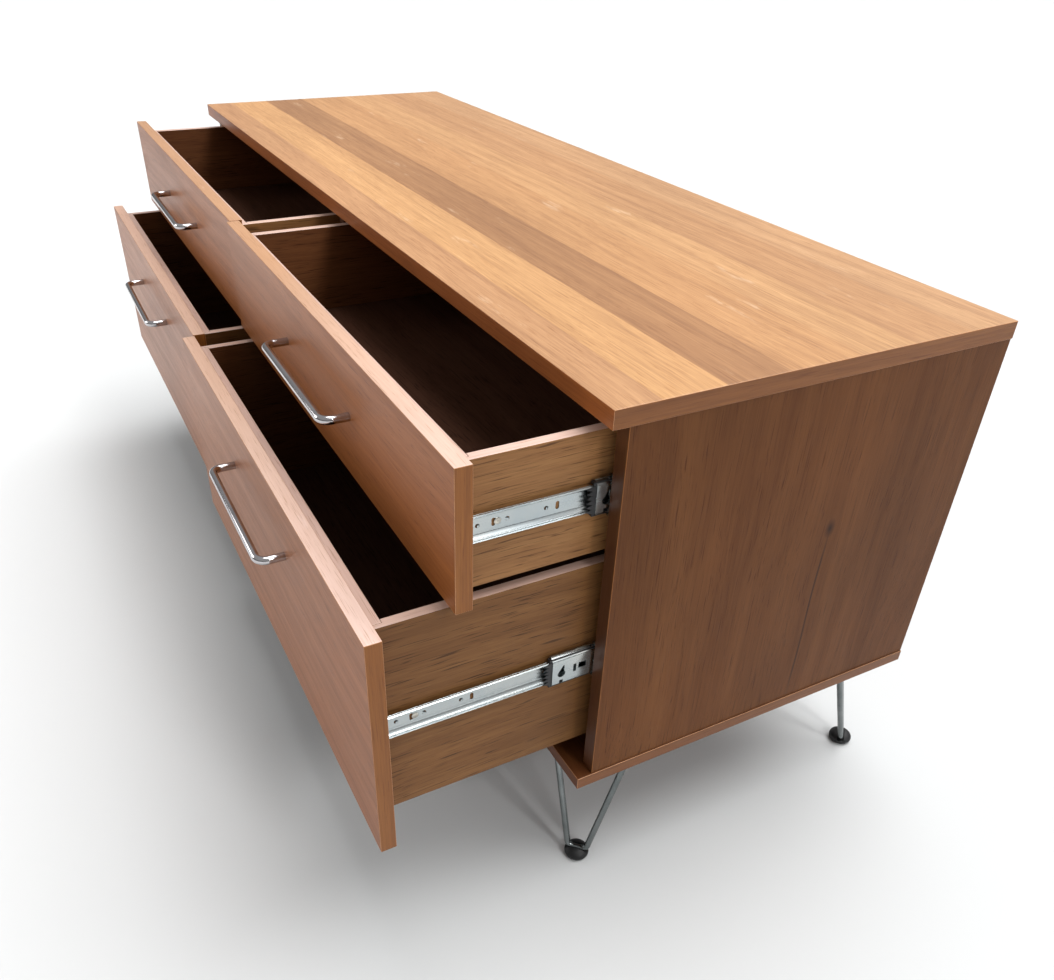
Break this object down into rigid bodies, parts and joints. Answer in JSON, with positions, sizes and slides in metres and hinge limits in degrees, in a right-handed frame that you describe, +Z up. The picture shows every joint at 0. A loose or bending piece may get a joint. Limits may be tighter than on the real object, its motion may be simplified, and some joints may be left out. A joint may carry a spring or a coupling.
{
  "type": "dresser with drawers",
  "caption": "Long low dresser with open drawers on full-extension ball-bearing slides, wood veneer panels, bar handles and bent-rod legs with round glides.",
  "frame": {"origin": "at floor level, at the middle of the overall box with the drawers open as they rest", "axes": "+X to the right as seen by someone facing the drawers, +Y from the drawer fronts to the back, +Z up; the drawers open towards -Y"},
  "size_m": [1.524, 0.7774, 0.642],
  "materials": {
    "top_veneer": "satin",
    "bottom_veneer": "satin",
    "side_veneer": "satin",
    "front_veneer": "satin",
    "box_wood": "satin",
    "box_base": "matte",
    "back_board": "matte",
    "dowel_wood": "matte",
    "handle_chrome": "polished",
    "leg_chrome": "polished",
    "slide_steel": "bright zinc",
    "screw_steel": "zinc",
    "glide_rubber": "satin",
    "cage_plastic": "moulded"
  },
  "bodies": {
    "carcass": {"top_panel": "top_veneer", "bottom_panel": "bottom_veneer", "side_panel_left": "side_veneer", "side_panel_right": "side_veneer", "centre_divider": "side_veneer", "back_panel": "back_board", "carcass_dowels": "dowel_wood", "back_panel_screws": "screw_steel", "leg_front_left": "leg_chrome", "leg_front_right": "leg_chrome", "leg_rear_left": "leg_chrome", "leg_rear_right": "leg_chrome", "leg_screws": "screw_steel", "glides": "glide_rubber", "slide_cabinet_channels": "slide_steel", "slide_cabinet_screws": "screw_steel"},
    "upper_left_drawer": {"upper_left_front": "front_veneer", "upper_left_handle": "handle_chrome", "upper_left_box_front": "box_wood", "upper_left_box_back": "box_wood", "upper_left_box_left": "box_wood", "upper_left_box_right": "box_wood", "upper_left_box_bottom": "box_base", "upper_left_screws": "screw_steel", "upper_left_slide_channels": "slide_steel"},
    "upper_left_middle": {"upper_left_middle_channels": "slide_steel", "upper_left_ball_cages": "cage_plastic"},
    "upper_right_drawer": {"upper_right_front": "front_veneer", "upper_right_handle": "handle_chrome", "upper_right_box_front": "box_wood", "upper_right_box_back": "box_wood", "upper_right_box_left": "box_wood", "upper_right_box_right": "box_wood", "upper_right_box_bottom": "box_base", "upper_right_screws": "screw_steel", "upper_right_slide_channels": "slide_steel"},
    "upper_right_middle": {"upper_right_middle_channels": "slide_steel", "upper_right_ball_cages": "cage_plastic"},
    "lower_left_drawer": {"lower_left_front": "front_veneer", "lower_left_handle": "handle_chrome", "lower_left_box_front": "box_wood", "lower_left_box_back": "box_wood", "lower_left_box_left": "box_wood", "lower_left_box_right": "box_wood", "lower_left_box_bottom": "box_base", "lower_left_screws": "screw_steel", "lower_left_slide_channels": "slide_steel"},
    "lower_left_middle": {"lower_left_middle_channels": "slide_steel", "lower_left_ball_cages": "cage_plastic"},
    "lower_right_drawer": {"lower_right_front": "front_veneer", "lower_right_handle": "handle_chrome", "lower_right_box_front": "box_wood", "lower_right_box_back": "box_wood", "lower_right_box_left": "box_wood", "lower_right_box_right": "box_wood", "lower_right_box_bottom": "box_base", "lower_right_screws": "screw_steel", "lower_right_slide_channels": "slide_steel"},
    "lower_right_middle": {"lower_right_middle_channels": "slide_steel", "lower_right_ball_cages": "cage_plastic"}
  },
  "joints": [
    {"name": "upper_left_slide", "type": "slide", "parent": "carcass", "child": "upper_left_drawer", "axis": [0, -1, 0], "range_m": [-0.143, 0.314]},
    {"name": "upper_left_middle_slide", "type": "slide", "parent": "carcass", "child": "upper_left_middle", "axis": [0, -1, 0], "range_m": [-0.0573, 0.1257]},
    {"name": "upper_right_slide", "type": "slide", "parent": "carcass", "child": "upper_right_drawer", "axis": [0, -1, 0], "range_m": [-0.148, 0.309]},
    {"name": "upper_right_middle_slide", "type": "slide", "parent": "carcass", "child": "upper_right_middle", "axis": [0, -1, 0], "range_m": [-0.0593, 0.1237]},
    {"name": "lower_left_slide", "type": "slide", "parent": "carcass", "child": "lower_left_drawer", "axis": [0, -1, 0], "range_m": [-0.219, 0.238]},
    {"name": "lower_left_middle_slide", "type": "slide", "parent": "carcass", "child": "lower_left_middle", "axis": [0, -1, 0], "range_m": [-0.0877, 0.0953]},
    {"name": "lower_right_slide", "type": "slide", "parent": "carcass", "child": "lower_right_drawer", "axis": [0, -1, 0], "range_m": [-0.235, 0.222]},
    {"name": "lower_right_middle_slide", "type": "slide", "parent": "carcass", "child": "lower_right_middle", "axis": [0, -1, 0], "range_m": [-0.0941, 0.0889]}
  ],
  "couplings": [
    {"joint": "upper_left_middle_slide", "follows": "upper_left_slide", "ratio": 0.4},
    {"joint": "upper_right_middle_slide", "follows": "upper_right_slide", "ratio": 0.4},
    {"joint": "lower_left_middle_slide", "follows": "lower_left_slide", "ratio": 0.4},
    {"joint": "lower_right_middle_slide", "follows": "lower_right_slide", "ratio": 0.4}
  ]
}
